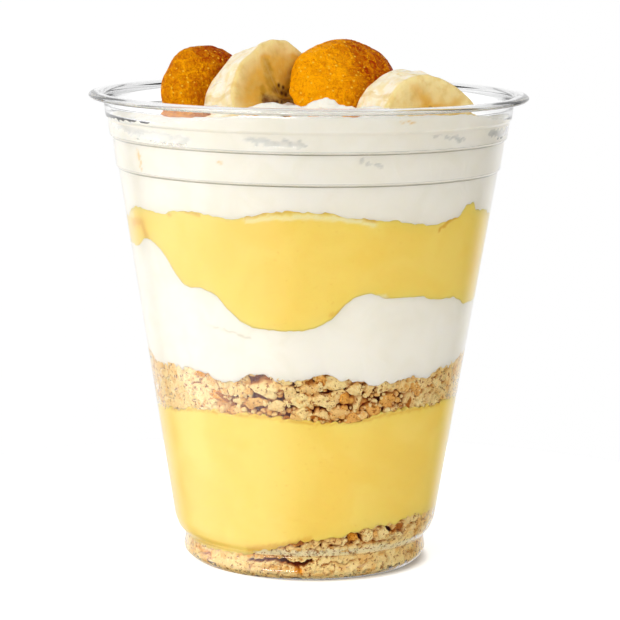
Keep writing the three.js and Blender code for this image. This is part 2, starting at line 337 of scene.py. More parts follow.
def crumb_ball(subdivisions):
    """Directions and triangles of a ball, for shapes that reach out in every direction."""
    ball = bmesh.new()
    bmesh.ops.create_icosphere(ball, subdivisions=subdivisions, radius=1.0)
    directions = np.array([vert.co[:] for vert in ball.verts])
    triangles = np.array([[vert.index for vert in face.verts] for face in ball.faces])
    ball.free()
    return directions / np.linalg.norm(directions, axis=1, keepdims=True), triangles


def biscuit_pieces(name, places, halves, tones, subdivisions, seed, lower, upper):
    """Broken pieces of biscuit against the wall. In direction d a piece reaches the nearest of its
    flat breaks, min over k of cut_k / (d . n_k), times its half width, depth and height, and is
    crumbled by noise of three sizes. Points past the wall are pressed flat on it, all but the pits
    of its open crumb. places are [degrees, depth, height] of the middles; the first break of a piece
    may be its baked crust."""
    rng = np.random.default_rng(seed)
    directions, triangles = crumb_ball(subdivisions)
    count, breaks = len(places), BREAKS
    normals = rng.normal(size=(count, breaks, 3))
    normals /= np.linalg.norm(normals, axis=-1, keepdims=True)
    cuts = rng.uniform(0.7, 1.0, (count, breaks))
    facing = np.einsum("vd,nbd->nvb", directions, normals)
    reach = cuts[:, None, :] / np.maximum(facing, 0.25)
    nearest = reach.argmin(-1)
    local = directions[None] * np.minimum(reach.min(-1), 1.2)[..., None] * halves[:, None, :]
    spot = local + places[:, None, :] * 3
    small = halves.min(1)[:, None]
    crumbled = sum(
        np.minimum(share * small, most) * soft_noise(spot, cell, seed + 1 + step)
        for step, (share, most, cell) in enumerate(CRUMBLED)
    )
    local = local + directions[None] * crumbled[..., None]
    angle = np.radians(places[:, :1])
    out = inner_radius(places[:, 2:]) - places[:, 1:2] + local[..., 1]
    across = local[..., 0]
    x = out * np.sin(angle) + across * np.cos(angle)
    y = -out * np.cos(angle) + across * np.sin(angle)
    turned = np.degrees(np.arctan2(x, -y))
    z = places[:, 2:] + local[..., 2]
    ragged = 0.6 * soft_noise(spot, 1.1, seed + 6)
    z = np.clip(z, lower(turned, 1.0) - 0.5 + ragged, upper(turned, 1.0) + 0.3 + ragged)
    pits = smooth(0.15, 0.6, -soft_noise(spot, 0.9, seed + 4))
    pits = pits + smooth(0.2, 0.6, -soft_noise(spot, 0.5, seed + 5))
    wall = inner_radius(z) + PIECE_REACH
    pressed = wall - rng.uniform(0, 0.2, (count, 1)) - 0.3 * pits
    scale = np.minimum(1, pressed / np.hypot(x, y))
    points = np.stack([x * scale, y * scale, z], -1)
    deep = wall - np.hypot(x, y) * scale
    faces = triangles[None] + np.arange(count)[:, None, None] * len(directions)
    baked = rng.uniform(0, 1, (count, 1)) < 0.35 + 0.5 * (tones[:, None] > 0.6)
    values = {
        # Their depth behind the wall, which the material paints as shade.
        "deep": 0.8 * deep.ravel(),
        "tone": np.repeat(tones, len(directions)),
        "crust": ((nearest == 0) & baked).astype(float).ravel(),
    }
    return new_mesh(name, points.reshape(-1, 3), faces.ravel(), np.full(faces.size // 3, 3), values)


def chosen_pieces(chunks):
    """Middles, half sizes and tones of pieces listed as (degrees, height, half width, half height, tone)."""
    at, height, across, up, tones = np.array(chunks, float).T
    deep = 0.8 * np.sqrt(across * up)
    return np.stack([at, 0.96 * deep, height], -1), np.stack([across, deep, up], -1), tones


def scattered_pieces(lower, upper, count, size_range, clear, seed, loose, taken=(), back=0.0):
    """Middles, half sizes and tones of pieces, largest first. A place is kept where the crumbs lie
    loosely and it is clear of the pieces before it, and of the chosen ones, by that share of their
    joined half widths. They lie that much further back from the wall."""
    rng = np.random.default_rng(seed)
    sizes = np.sort(rng.uniform(size_range[0] ** 0.5, size_range[1] ** 0.5, count) ** 2)[::-1]
    kept = np.array([[at, height, 0.8 * np.sqrt(across * up), 1.0] for at, height, across, up, tone in taken])
    kept = kept.reshape(-1, 4)
    for size in sizes:
        angle = rng.uniform(-180, 180, TRIES)
        bottom, top = lower(angle, 1.0) + 0.3 * size, upper(angle, 1.0) - 0.5 * size
        height = rng.uniform(np.minimum(bottom, top), np.maximum(bottom, top))
        across = np.radians((angle[:, None] - kept[None, :, 0] + 180) % 360 - 180)
        across = across * inner_radius(height)[:, None]
        apart = np.hypot(across, height[:, None] - kept[None, :, 1])
        free = (apart > clear * (size + kept[None, :, 2])).all(1) & (rng.uniform(0, 1, TRIES) < loose(angle))
        if free.any():
            first = int(np.argmax(free))
            kept = np.vstack([kept, [angle[first], height[first], size, rng.uniform(0.8, 1.3)]])
    kept = kept[len(taken) :]
    halves = np.stack([kept[:, 2] * kept[:, 3], kept[:, 2] * 0.9, kept[:, 2] / kept[:, 3]], -1)
    depth = halves[:, 1] * rng.uniform(0.7, 1.3, len(kept)) + back * rng.uniform(0, 1, len(kept))
    return np.stack([kept[:, 0], depth, kept[:, 1]], -1), halves, 0.8 * rng.uniform(0, 1, len(kept)) ** 2


def painted(x, y, strokes):
    """The strongest of several strokes (path, width, strength) at each point: a stroke is its
    strength on its path of (x, y) points and falls to 0 at its width as 1 - 3t² + 2t³."""
    total = np.zeros(np.broadcast_shapes(np.shape(x), np.shape(y)))
    for path, width, strength in strokes:
        nearest = np.full(total.shape, np.inf)
        for (x0, y0), (x1, y1) in zip(path[:-1], path[1:]):
            dx, dy = x1 - x0, y1 - y0
            along = np.clip(((x - x0) * dx + (y - y0) * dy) / (dx * dx + dy * dy), 0, 1)
            nearest = np.minimum(nearest, np.hypot(x - x0 - along * dx, y - y0 - along * dy))
        total = np.maximum(total, strength * (1 - smooth(0, width, nearest)))
    return total


def on_wall(angle, height, strokes, ragged=0.3):
    """Strokes along paths of (degrees, height) on the wall, their edges shaken by noise of 0.8 mm."""
    x, y = np.broadcast_arrays(angle * DEGREE_WIDTH, height)
    spot = np.stack([x, y, 0 * x], -1)
    x = x + ragged * soft_noise(spot, 0.8, 7)
    y = y + ragged * soft_noise(spot, 0.8, 8)
    flat = lambda path: [(at * DEGREE_WIDTH, up) for at, up in path]
    return painted(x, y, [(flat(path), width, strength) for path, width, strength in strokes])


def crumb_core(name, lower, upper, loose, brown, seed, gaps=(), tints=(), floor_line=None):
    """Packed fine crumb inside a layer. At the wall its radius is the wall's less pits and cracks,
    less the strokes of gaps, and less the depth of a bay where larger pieces lie over it. lower is a
    level, or floor_line the line of the cup's floor. Along the wall's crease it has a painted dark
    line of shade, with a painted pale highlight just above, and it is browner by the strokes of tints."""
    top_height = upper(fine_degrees, 1.0)
    share = np.linspace(0.08, 0.97, UNSEEN_ROWS)[:, None]
    if floor_line is None:
        bottom_height = lower(fine_degrees, 1.0)
        floor_rows = ring_points(share * inner_radius(bottom_height), lower(fine_degrees, share), fine_turn)
    else:
        floor_rows = ring_points(floor_line[:, :1], floor_line[:, 1:], fine_turn)
        bottom_height = floor_line[-1, 1]
    part = np.linspace(0, 1, CORE_ROWS)[1:, None]
    height = bottom_height + (top_height - bottom_height) * part
    flat = ring_points(inner_radius(height), height, fine_turn)
    grain = 0.5 * soft_noise(flat, 0.7, seed) + 0.5 * soft_noise(flat, 0.4, seed + 1)
    lumps = soft_noise(flat, 2.4, seed + 2)
    pits = smooth(0.3, 0.62, -grain - 0.25 * lumps) * PIT_DEPTH
    cracks = smooth(0.11, 0.03, np.abs(soft_noise(flat, 2.1, seed + 3)))
    cracks = cracks * smooth(-0.1, 0.25, lumps + grain) * CRACK_DEPTH
    bays = loose(fine_degrees + 9 * soft_noise(flat, 3.0, seed + 4)) * (BAY_DEPTH + 0.6 * lumps)
    bays = bays + on_wall(fine_degrees, height, gaps)
    deep = np.clip(np.maximum(pits, cracks) + bays, 0, DEEPEST)
    radius = inner_radius(height) + CORE_REACH - deep
    roof_radius = share[::-1] * (inner_radius(top_height) - loose(fine_degrees))
    roof = ring_points(roof_radius, upper(fine_degrees, share[::-1]), fine_turn)
    rows = np.concatenate([floor_rows, ring_points(radius, height, fine_turn), roof])
    # Painted light along the wall's crease: a dark line of shade, and a pale highlight just above it.
    crease = np.exp(-(((height - CREASE_HEIGHT - 0.25) / 0.2) ** 2))
    crease_highlight = np.exp(-(((height - CREASE_HEIGHT - 1.2) / 0.75) ** 2))
    blank = np.zeros((len(share), len(fine_turn)))
    tone = brown + 0.3 * lumps - 1.1 * crease_highlight + on_wall(fine_degrees, height, tints)
    values = {
        # The depth behind the wall, which the material paints as shade, with the painted dark line along the
        # crease.
        "deep": np.concatenate([np.zeros(floor_rows.shape[:2]), deep + 0.9 * crease, blank]),
        "tone": np.concatenate([np.full(floor_rows.shape[:2], 0.3), tone, blank + 0.3]),
        "crust": np.zeros(rows.shape[:2]),
    }
    return turned_piece(name, rows, values)


def mixed_colour(tree, factor, first, second):
    """The output of a node that goes from the first colour to the second."""
    return add_node(tree, "Mix", {0: factor, 6: first, 7: second}, data_type="RGBA")[2]


def ramp(tree, value, low, high, start=0.0, end=1.0):
    """The output of a node that takes a value from low to high on to start to end, softly."""
    sockets = {"Value": value, "From Min": low, "From Max": high, "To Min": start, "To Max": end}
    return add_node(tree, "MapRange", sockets, interpolation_type="SMOOTHSTEP")["Result"]


def coated(tree, colour, coats):
    """A colour under several coats, laid over it in turn. A coat is the value that says how thick it
    is, its colour, and, where the value is taken through a ramp, that ramp's numbers."""
    for value, code, *span in coats:
        colour = mixed_colour(tree, ramp(tree, value, *span) if span else value, colour, code)
    return colour


def food_surface(tree, colour, height, strength, depth, sockets):
    """Ends the material of a food: its colour, its finest relief, which is a height with a strength
    and a depth in metres, and the other values of its shader."""
    bump = add_node(tree, "Bump", {"Height": height, "Strength": strength, "Distance": depth})["Normal"]
    sockets = {"Base Color": colour, "Subsurface Scale": 1.0, "Normal": bump, **sockets}
    add_node(tree, "OutputMaterial", {"Surface": add_node(tree, "BsdfPrincipled", sockets)[0]})


def broken_biscuit():
    """Short-baked biscuit: a dry, matt, open crumb. Its colours are its pale crumb, browner where it
    is pressed on the wall, and its golden crust, under painted shade that turns it brown, then dark
    brown, with its depth behind the wall in gaps and along the crease."""
    material, tree, deep, tone, crust = empty_material("broken_biscuit", "deep", "tone", "crust")
    place = add_node(tree, "TexCoord")["Object"]
    # The flour and sugar in it are grains of about 0.4 mm, pale or baked, in patches of 3 mm.
    fine = {"Vector": place, "Scale": 1150.0, "Detail": 3.0, "Roughness": 0.7}
    grain = add_node(tree, "TexNoise", fine)["Fac"]
    patches = add_node(tree, "TexNoise", {"Vector": place, "Scale": 380.0, "Detail": 2.0})["Fac"]
    colour = coated(tree, "#FFE6A4", [
        (tone, "#E99C26"),
        (patches, "#E6AA4C", 0.52, 0.64, 0.0, 0.6),
        (deep, "#DEB870", 0.0, 0.09, 0.2, 0.0),
        (grain, "#FFF2BE", 0.42, 0.3, 0.0, 0.6),
        # Paler where the tone falls below nought: by its lumps, and as the painted highlight above the
        # crease.
        (tone, "#FFF2C8", 0.0, -0.6, 0.0, 0.9),
        (grain, "#9A5210", 0.56, 0.63, 0.0, 0.85),
        (crust, "#B0661A"),
        # Painted shade: brown, then dark brown, with the depth behind the wall.
        (deep, "#C8741A", 0.4, 1.2, 0.0, 0.9),
        (deep, "#8A3808", 1.0, 2.0),
    ])
    food_surface(tree, colour, grain, 0.7, 0.0004, {
        "Roughness": 0.9, "Specular IOR Level": 0.15,
        "Subsurface Weight": 0.1, "Subsurface Radius": (0.0012, 0.0007, 0.0003),
    })
    return material


def finish_piece(piece, material, slot, *nodes):
    """Gives a piece its material and says what it rides on and stands for. Its slot is not used."""
    piece.data.materials.append(material)
    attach(piece, "root")
    if nodes:
        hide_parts(*nodes)


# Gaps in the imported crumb, each a path of (degrees, height), its half width and its depth.
BOTTOM_GAPS = [
    ([(-27, 3.9), (-20, 4.3), (-15, 4.8), (-11, 4.5)], 0.55, 2.2),
    ([(-11, 4.5), (-6, 3.9), (-1, 3.6), (3, 4.6)], 0.8, 2.6),
    ([(-3.4, 3.4), (-2, 2.6)], 0.7, 1.0),
    ([(12, 7.9), (18, 8.7), (21, 9.4)], 0.7, 2.2),
    ([(24, 8.2), (32, 8.6), (40, 8.4), (45, 9.0)], 0.5, 1.6),
    ([(42, 10.2), (48, 10.8), (56, 11.2)], 0.5, 1.8),
    ([(-16, 7.3), (-9, 8.2), (-5, 9.4)], 0.4, 0.9),
    ([(28, 2.4), (30, 3.6), (35, 4.6)], 0.35, 1.0),
    ([(40, 2.2), (44, 3.4), (42, 4.8)], 0.35, 1.0),
    ([(56, 2.6), (60, 3.6), (68, 3.2)], 0.35, 1.0),
    ([(-58, 3.0), (-53, 3.3)], 0.5, 1.2),
    ([(8, 3.2), (13, 4.3), (19, 3.6), (24, 4.4)], 0.35, 1.0),
    ([(-8, 9.2), (6, 9.0), (20, 9.9), (34, 10.6), (47, 11.2)], 2.3, 2.8),
]
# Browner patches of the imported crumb, each a path, its half width and how brown it is.
BOTTOM_TINTS = [
    ([(-64, 4.4), (-56, 3.8), (-50, 3.4)], 0.9, 0.8),
    ([(-33, 5.0), (-24, 5.2), (-12, 5.2)], 0.7, 0.8),
    ([(-4, 2.8), (-1.5, 2.0)], 0.9, 1.2),
    ([(-20, 3.2), (-8, 2.8)], 0.6, 0.4),
]
# Pieces chosen to lie at the front: degrees, height, half width, half height, and how brown they are.
BOTTOM_CHUNKS = [
    (-4, 9.2, 1.9, 0.8, 0.95),
    (4, 8.8, 1.8, 1.0, 0.2),
    (13, 9.4, 1.9, 0.9, 0.35),
    (21.5, 10.3, 1.4, 1.3, 1.0),
    (29, 10.6, 1.6, 1.5, 0.0),
    (37, 10.6, 1.7, 1.5, 0.0),
    (45, 11.5, 1.6, 0.9, 0.5),
]


def bottom_loose(angle):
    """Where the bottom layer shows separate pieces: 1 there and 0 where it is packed."""
    return around(24, 24, angle) + 0.7 * around(165, 40, angle)


biscuit_finish = broken_biscuit()
packed = lambda angle: 0 * angle
# The crumb lies on the cup's raised floor, every second point of its line, just under its surface.
floor_line = inside[1 : foot_row + 1 : 2] - np.array([0.0, FLOOR_REACH])
bottom_core = crumb_core(
    "crumb_bottom_core", None, bottom_top, packed, 0.1, 31, BOTTOM_GAPS, BOTTOM_TINTS, floor_line
)
finish_piece(bottom_core, biscuit_finish, "biscuit_crumb", "crumb_bottom")
# The pieces lie above the crease of the wall.
bottom_floor = level(6.6, [])
chosen = chosen_pieces(BOTTOM_CHUNKS)
bottom_chunks = biscuit_pieces("crumb_bottom_chunks", *chosen, 5, 32, bottom_floor, bottom_top)
finish_piece(bottom_chunks, biscuit_finish, "biscuit_crumb")
small = scattered_pieces(bottom_floor, bottom_top, 140, (0.4, 1.3), 0.8, 33, bottom_loose, BOTTOM_CHUNKS, 0.8)
bottom_pieces = biscuit_pieces("crumb_bottom_pieces", *small, 3, 34, bottom_floor, bottom_top)
finish_piece(bottom_pieces, biscuit_finish, "biscuit_crumb")

# The lower custard: banana custard, cooked thick and smooth, poured over the crumbs while soft
# and set in the cup. It is slightly translucent, and its edges are drawn out thin.
CUSTARD_REACH = 0.05
OVERLAP = 0.4
TOUCH = 0.02
# The shares of the radius at which a layer's hidden rows lie, from near the axis to the wall.
UNSEEN = np.linspace(0.08, 0.985, UNSEEN_ROWS)[:, None]
lower_top = level(
    38.0,
    [(-78, 20, -2.5), (-50, 8, -0.5), (6, 11, -1.3), (21, 6, -0.7), (50, 14, 0.5), (180, 60, -0.8)],
    ripple=0.4,
    seed=2,
)


def under(surface):
    """The surface let down by the overlap, where the layer that lies on it starts."""
    return lambda angle, share: surface(angle, share) - OVERLAP


def layer_piece(name, lower, upper, reach, strokes):
    """A layer of custard or cream: along its lower level, up the wall, to which it reaches, and back
    along its upper level. strokes are the named tints that are painted on it."""
    bottom, top = lower(degrees, 1.0), upper(degrees, 1.0)
    part = np.linspace(0, 1, FOOD_ROWS)[:, None]
    height = bottom + (top - bottom) * part
    radius = inner_radius(height) + reach
    rows = np.concatenate([
        ring_points(UNSEEN * inner_radius(bottom), lower(degrees, UNSEEN) - TOUCH),
        ring_points(radius, height),
        ring_points(UNSEEN[::-1] * inner_radius(top), upper(degrees, UNSEEN[::-1]) + TOUCH),
    ])
    tints = {key: on_wall(degrees, rows[..., 2], paths) for key, paths in strokes.items()}
    return turned_piece(name, rows, tints)


def custard():
    """Cooked egg and milk custard with banana: smooth and satin. Light goes some 2 mm into it, more
    of the red than the blue. amber is where it is thin or dense at an edge, and painted shade along
    the front of the upper custard's top edge, as if it stood back from the wall there. pale is where
    cream mixes in, and a painted reflection just under that edge."""
    material, tree, amber, pale = empty_material("banana_custard", "amber", "pale")
    place = add_node(tree, "TexCoord")["Object"]
    # Streaks of folding, about 12 mm long, and fine specks of fruit of about 0.7 mm.
    folded = {"Vector": place, "Scale": 80.0, "Detail": 3.0, "Distortion": 0.6}
    streaks = add_node(tree, "TexNoise", folded)["Fac"]
    specks = add_node(tree, "TexNoise", {"Vector": place, "Scale": 1400.0, "Detail": 1.0})["Fac"]
    colour = coated(tree, "#FBE076", [
        (streaks, "#F9DA69", 0.35, 0.65),
        (specks, "#E8BC4A", 0.66, 0.8, 0.0, 0.35),
        (amber, "#E2A52A"),
        (pale, "#FFF3C8"),
    ])
    food_surface(tree, colour, streaks, 0.15, 0.001, {
        "Roughness": 0.38, "IOR": 1.4,
        "Subsurface Weight": 0.5, "Subsurface Radius": (0.003, 0.0022, 0.0008),
    })
    return material


custard_finish = custard()
custard_lower = layer_piece(
    "custard_lower_set",
    under(bottom_top),
    lower_top,
    CUSTARD_REACH,
    {
        "amber": [
            ([(-23, 39.2), (-17, 38.1), (-11, 38.4), (-8, 37.8)], 0.8, 0.5),
            ([(-26, 6.9), (-10, 8.5), (2, 10.3)], 1.2, 0.6),
            ([(-62, 36.2), (-44, 37.8), (-20, 37.9), (-4, 37.2), (6, 36.5)], 0.7, 0.6),
            ([(6, 36.5), (20, 36.9), (34, 38.0), (60, 38.2)], 0.7, 0.6),
        ],
        "pale": [],
    },
)
finish_piece(custard_lower, custard_finish, "custard", "custard_lower")

# The middle layer: more broken biscuit, sprinkled on the custard. At both sides it is fine and
# packed, and across the front pieces of up to 9 mm lie with dark gaps between them.
middle_top = level(
    46.6,
    [(-84, 10, 1.8), (-48, 10, 0.6), (-30, 6, -1.1), (-17, 6, 0.8), (6, 6, 1.3), (29, 7, -1.1), (46, 4, -1.2),
     (79, 10, 2.0), (175, 35, 1.2)],
    ripple=0.45,
    seed=3,
)
# Pieces chosen to lie at the front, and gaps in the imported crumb, as in the bottom layer.
MIDDLE_CHUNKS = [
    (-16, 44.4, 3.9, 2.7, 0.1), (-8, 46.3, 1.7, 1.1, 0.15), (1, 44.6, 2.2, 1.6, 0.35),
    (10, 45.7, 3.9, 1.9, 0.1), (-3, 41.8, 2.5, 1.7, 0.0), (-6, 43.6, 2.0, 1.7, 0.2),
    (7, 41.8, 2.7, 1.5, 0.1), (14, 41.8, 1.5, 1.3, 0.85), (18, 44.2, 1.6, 1.6, 0.15),
    (23.5, 44.0, 1.3, 1.6, 0.3), (29, 44.2, 2.1, 1.6, 0.1), (32, 41.1, 2.0, 1.7, 0.75),
    (38, 43.7, 1.8, 1.5, 0.3), (44, 42.9, 1.6, 1.7, 0.7), (-30, 43.8, 2.6, 2.1, 0.1),
    (-24, 43.2, 1.6, 1.6, 0.2), (-34, 41.0, 2.3, 1.5, 0.9), (-41, 45.9, 2.7, 1.0, 0.95),
    (-19, 40.6, 2.8, 1.3, 0.6), (-10, 40.3, 1.8, 1.2, 0.2), (-49, 43.2, 2.4, 1.7, 0.1),
    (-57, 45.0, 2.2, 1.5, 0.2), (-50, 40.4, 2.2, 1.3, 0.15), (-60, 41.4, 2.3, 1.6, 0.05),
    (-69, 44.0, 2.2, 2.0, 0.2), (50, 44.6, 1.8, 1.5, 0.3), (57, 43.6, 1.9, 1.8, 0.1),
    (51, 41.8, 1.7, 1.0, 0.2), (64, 45.6, 1.8, 1.7, 0.2), (62, 42.2, 1.8, 1.2, 0.1),
    (72, 44.8, 2.0, 1.8, 0.2),
]
MIDDLE_GAPS = [
    ([(-38, 43.2), (-42, 43.8), (-46, 43.4)], 0.4, 1.0),
    ([(52, 44.6), (58, 45.0), (62, 46.0)], 0.4, 1.0),
]


def middle_loose(angle):
    """Where the middle layer shows separate pieces: across the front and round the back."""
    return around(4, 38, angle) + 0.8 * around(150, 30, angle) + 0.8 * around(-135, 22, angle)


middle_core = crumb_core("crumb_middle_core", lower_top, middle_top, middle_loose, 0.05, 41, MIDDLE_GAPS)
finish_piece(middle_core, biscuit_finish, "biscuit_crumb", "crumb_middle")
chosen = chosen_pieces(MIDDLE_CHUNKS)
middle_chunks = biscuit_pieces("crumb_middle_chunks", *chosen, 5, 42, lower_top, middle_top)
finish_piece(middle_chunks, biscuit_finish, "biscuit_crumb")
# Between and behind them lie scattered pieces and fine crumbs: how many, their half widths, how
# clear of the others, how far back, how finely their balls are divided, and the places' seed.
middle_levels = lower_top, middle_top
for name, count, sizes, clear, back, fine, seed in (
    ("crumb_middle_pieces", 120, (0.9, 2.4), 0.85, 0.5, 4, 43),
    ("crumb_middle_small", 900, (0.3, 0.8), 0.95, 0.9, 2, 45),
):
    small = scattered_pieces(*middle_levels, count, sizes, clear, seed, middle_loose, MIDDLE_CHUNKS, back)
    middle_pieces = biscuit_pieces(name, *small, fine, seed + 1, *middle_levels)
    finish_piece(middle_pieces, biscuit_finish, "biscuit_crumb")

# The middle cream: whipped cream, spooned in and pressed against the wall, where it has run into
# a smooth skin. The custard above sank into it at the front.
CREAM_REACH = 0.03
cream_top_level = level(
    64.2,
    [(-73, 27, 8.2), (-57, 9, 2.8), (-34, 6, 1.3), (-8, 19, -6.7), (18, 7, 1.2), (47, 5, -1.1), (60, 4, 1.0),
     (74, 20, -3.8), (140, 30, 5.5)],
    ripple=0.12,
    seed=4,
)


def whipped_cream():
    """Whipped cream: white with a trace of yellow, soft and satin, with light going about 3 mm into it.
    shade is painted shade where a ledge of the wall crosses it, and the cream is painted grey as shade
    where it stands off the wall."""
    material, tree, shade, hollow_shade, amber = empty_material("whipped_cream", "shade", "hollow_shade", "amber")
    place = add_node(tree, "TexCoord")["Object"]
    # Folds of about 7 mm, left by the spoon.
    spooned = {"Vector": place, "Scale": 140.0, "Detail": 3.0, "Distortion": 0.8}
    folds = add_node(tree, "TexNoise", spooned)["Fac"]
    colour = coated(tree, "#F8F3E8", [
        (folds, "#F4EFE1", 0.35, 0.7),
        (shade, "#857A35"),
        # Painted grey shade where the cream stands off the wall.
        (hollow_shade, "#B9BCB8"),
        (amber, "#E9BC4C"),
    ])
    food_surface(tree, colour, folds, 0.2, 0.001, {
        "Roughness": 0.5, "IOR": 1.4,
        "Subsurface Weight": 0.4, "Subsurface Radius": (0.003, 0.0026, 0.002),
    })
    return material


cream_finish = whipped_cream()
cream_middle = layer_piece(
    "cream_middle_whipped",
    under(middle_top),
    cream_top_level,
    CREAM_REACH,
    {"amber": [], "shade": [([(-34, 57.3), (-26, 56.2), (-19, 55.2)], 0.35, 0.25)], "hollow_shade": []},
)
finish_piece(cream_middle, cream_finish, "cream", "cream_middle")

# The upper custard, of the same batch. It is smeared up the wall in places, where it shows amber.
upper_top = level(
    80.9,
    [(-86, 14, -3.2), (-38, 8, 0.9), (-3, 15, 2.2), (16, 5, 0.5), (40, 10, -1.3), (58, 4, 2.2),
     (84, 10, -1.8), (190, 45, 1.4)],
    ripple=0.2,
    seed=5,
)
custard_upper = layer_piece(
    "custard_upper_set",
    under(cream_top_level),
    upper_top,
    CUSTARD_REACH,
    {
        "amber": [
            # Painted shade along the front of the top edge, as if the custard stood back from the wall there.
            ([(-18, 81.8), (-11, 83.1), (1, 83.5), (11, 82.8), (20, 81.2)], 1.0, 0.7),
            ([(-62, 83.7), (-59, 83.1), (-55, 82.1)], 1.2, 0.8),
            ([(8, 60.8), (15, 62.6), (26, 64.1)], 0.6, 0.6),
            ([(-71, 77.1), (-63, 77.7), (-60, 73.4)], 1.8, 0.5),
            ([(-49, 81.5), (-46, 80.6)], 0.6, 0.6),
            ([(-43, 82.3), (-38, 81.7), (-34, 81.3)], 0.5, 0.6),
            ([(44, 78.0), (48, 79.7), (52, 80.6)], 0.5, 0.9),
        ],
        "pale": [
            # A painted reflection: a pale line just under that shade, where the custard's edge meets the
            # wall.
            ([(-18, 80.8), (-11, 81.6), (1, 82.0), (11, 81.4), (20, 80.2)], 0.9, 0.7),
            ([(-85, 77.7), (-70, 79.0)], 1.2, 0.5),
            ([(-85, 77.7), (-81, 69.5)], 1.0, 0.5),
            ([(11, 61.4), (17, 63.9), (26, 64.5)], 0.7, 0.7),
            ([(45, 61.9), (47, 60.5), (49, 58.9)], 0.5, 0.8),
        ],
    },
)
finish_piece(custard_upper, custard_finish, "custard", "custard_upper")

# The top cream: whipped cream spooned up to the rim in soft mounds. It touches the wall below,
# and higher up small pockets of air lie between them.
TOP_ROWS = 90
# The rows up the wall below, across and between the ledges, and above the last of them.
TOP_WALL_ROWS = (14, 16, 14, 16, 8, 14, 8)
# A groove runs in the cream along each ledge it lies behind: where its rows start, its half width
# and its depth. Pockets of air keep clear of the ledges by about LEDGE_ROOM.
GROOVE_ROOM = 0.6
GROOVE_HALF = 0.16
GROOVE_DEPTH = 0.7
LEDGE_ROOM = 0.9
POCKET_DEPTH = 0.25
CREAM_EDGE = [(14, 52, 3.8), (-60, 20, 0.4)]
# Mounds left by the spoon: how far right and back of the axis, how wide and how high.
SPOONFULS = [
    (-8.5, -27, 5.5, 2.2), (3.4, -25, 3.6, 2.8), (15, -28, 6, 0.4), (-20, -18, 5, 1.9),
    (-3, -3, 15, 3.4), (-35, 8, 9, 1.0), (34, 4, 10, 1.4),
]
# Air between the cream and the wall, each a path of (degrees, height), its half width and how full it is.
POCKETS = [
    ([(-78, 100.2), (-64, 98.6), (-50, 97.9), (-36, 97.0)], 2.0, 1.0),
    ([(-16, 98.2), (-8, 97.6), (-2, 97.3)], 1.3, 1.0),
    ([(35, 99.2), (41, 98.5), (48, 97.4)], 0.5, 1.0),
    ([(14, 94.4), (17, 93.4), (21, 92.6)], 0.5, 1.0),
    ([(62, 98.4), (72, 97.4), (80, 97.8)], 1.6, 0.9),
]
cream_edge = level(99.6, CREAM_EDGE, ripple=0.2, seed=6)


def cream_surface(radius, height):
    """The open top of the cream: its level plus each spoonful, rise * exp(-d² / spread²), and folds
    with sharp ridges where noise of 7 mm crosses zero."""
    points = ring_points(radius, height)
    x, y = points[..., 0], points[..., 1]
    mounds = sum(
        rise * np.exp(-((x - at_x) ** 2 + (y - at_y) ** 2) / spread**2)
        for at_x, at_y, spread, rise in SPOONFULS
    )
    flat = points * [1, 1, 0]
    folds = 0.9 - 2.2 * np.abs(soft_noise(flat, 7.0, 61)) + 0.35 * soft_noise(flat, 2.6, 62)
    return height + mounds + folds * smooth(0, 5, inner_radius(height) - radius)


def top_cream_piece():
    """The top cream: along the custard below, up the wall and over its open top."""
    lower = under(upper_top)
    bottom, top = lower(degrees, 1.0), cream_edge(degrees, 1.0)
    near = [edge for height, out in STEPS for edge in (height - GROOVE_ROOM, height + GROOVE_ROOM)]
    # The knots stay in order where the cream ends below the highest ledge.
    near = [np.minimum(edge, top - 0.1 * left) for edge, left in zip(near, range(len(near), 0, -1))]
    knots = [bottom, *near, top]
    height = np.concatenate([
        low + (high - low) * np.linspace(0, 1, count, endpoint=False)[:, None]
        for low, high, count in zip(knots[:-1], knots[1:], TOP_WALL_ROWS)
    ] + [top[None]])
    flat = ring_points(inner_radius(height), height)
    clear = np.prod([1 - np.exp(-(((height - ledge) / LEDGE_ROOM) ** 4)) for ledge, out in STEPS], axis=0)
    torn = 0.95 + 0.35 * soft_noise(flat, 1.4, 63)
    pockets = smooth(0.3, 0.55, on_wall(degrees, height, POCKETS, 0.6) * torn) * clear
    groove = sum(np.exp(-(((height - ledge) / GROOVE_HALF) ** 2)) for ledge, out in STEPS[:2])
    edge = inner_radius(height) + CREAM_REACH - POCKET_DEPTH * pockets - GROOVE_DEPTH * groove
    inward = np.linspace(1, 0.02, TOP_ROWS)[:, None]
    open_radius = inward * edge[-1]
    rows = np.concatenate([
        ring_points(UNSEEN * inner_radius(bottom), lower(degrees, UNSEEN)),
        ring_points(edge, height),
        ring_points(open_radius, cream_surface(open_radius, cream_edge(degrees, inward))),
    ])
    heights = rows[..., 2]
    stains = [
        ([(-58, 93.9), (-57, 91.8), (-57, 90.0)], 0.5, 0.7),
        ([(-26, 93.2), (-25, 93.0)], 0.4, 0.8),
        ([(25, 102.0), (29, 101.9)], 0.3, 0.8),
    ]
    shade, hollow_shade = np.zeros(heights.shape), np.zeros(heights.shape)
    at_wall = slice(UNSEEN_ROWS, UNSEEN_ROWS + len(height))
    shade[at_wall] = groove * (0.75 + 0.25 * soft_noise(flat, 9.0, 64))
    veins = 1 - smooth(0, 0.5, np.abs(soft_noise(flat * [1, 1, 2], 2.6, 65)))
    # Painted grey shade in the pockets of air, veined by noise.
    hollow_shade[at_wall] = pockets * (0.25 + 0.3 * veins)
    values = {"amber": on_wall(degrees, heights, stains), "shade": shade, "hollow_shade": hollow_shade}
    return turned_piece("cream_top_whipped", rows, values)


cream_top = top_cream_piece()
finish_piece(cream_top, cream_finish, "cream", "cream_top")
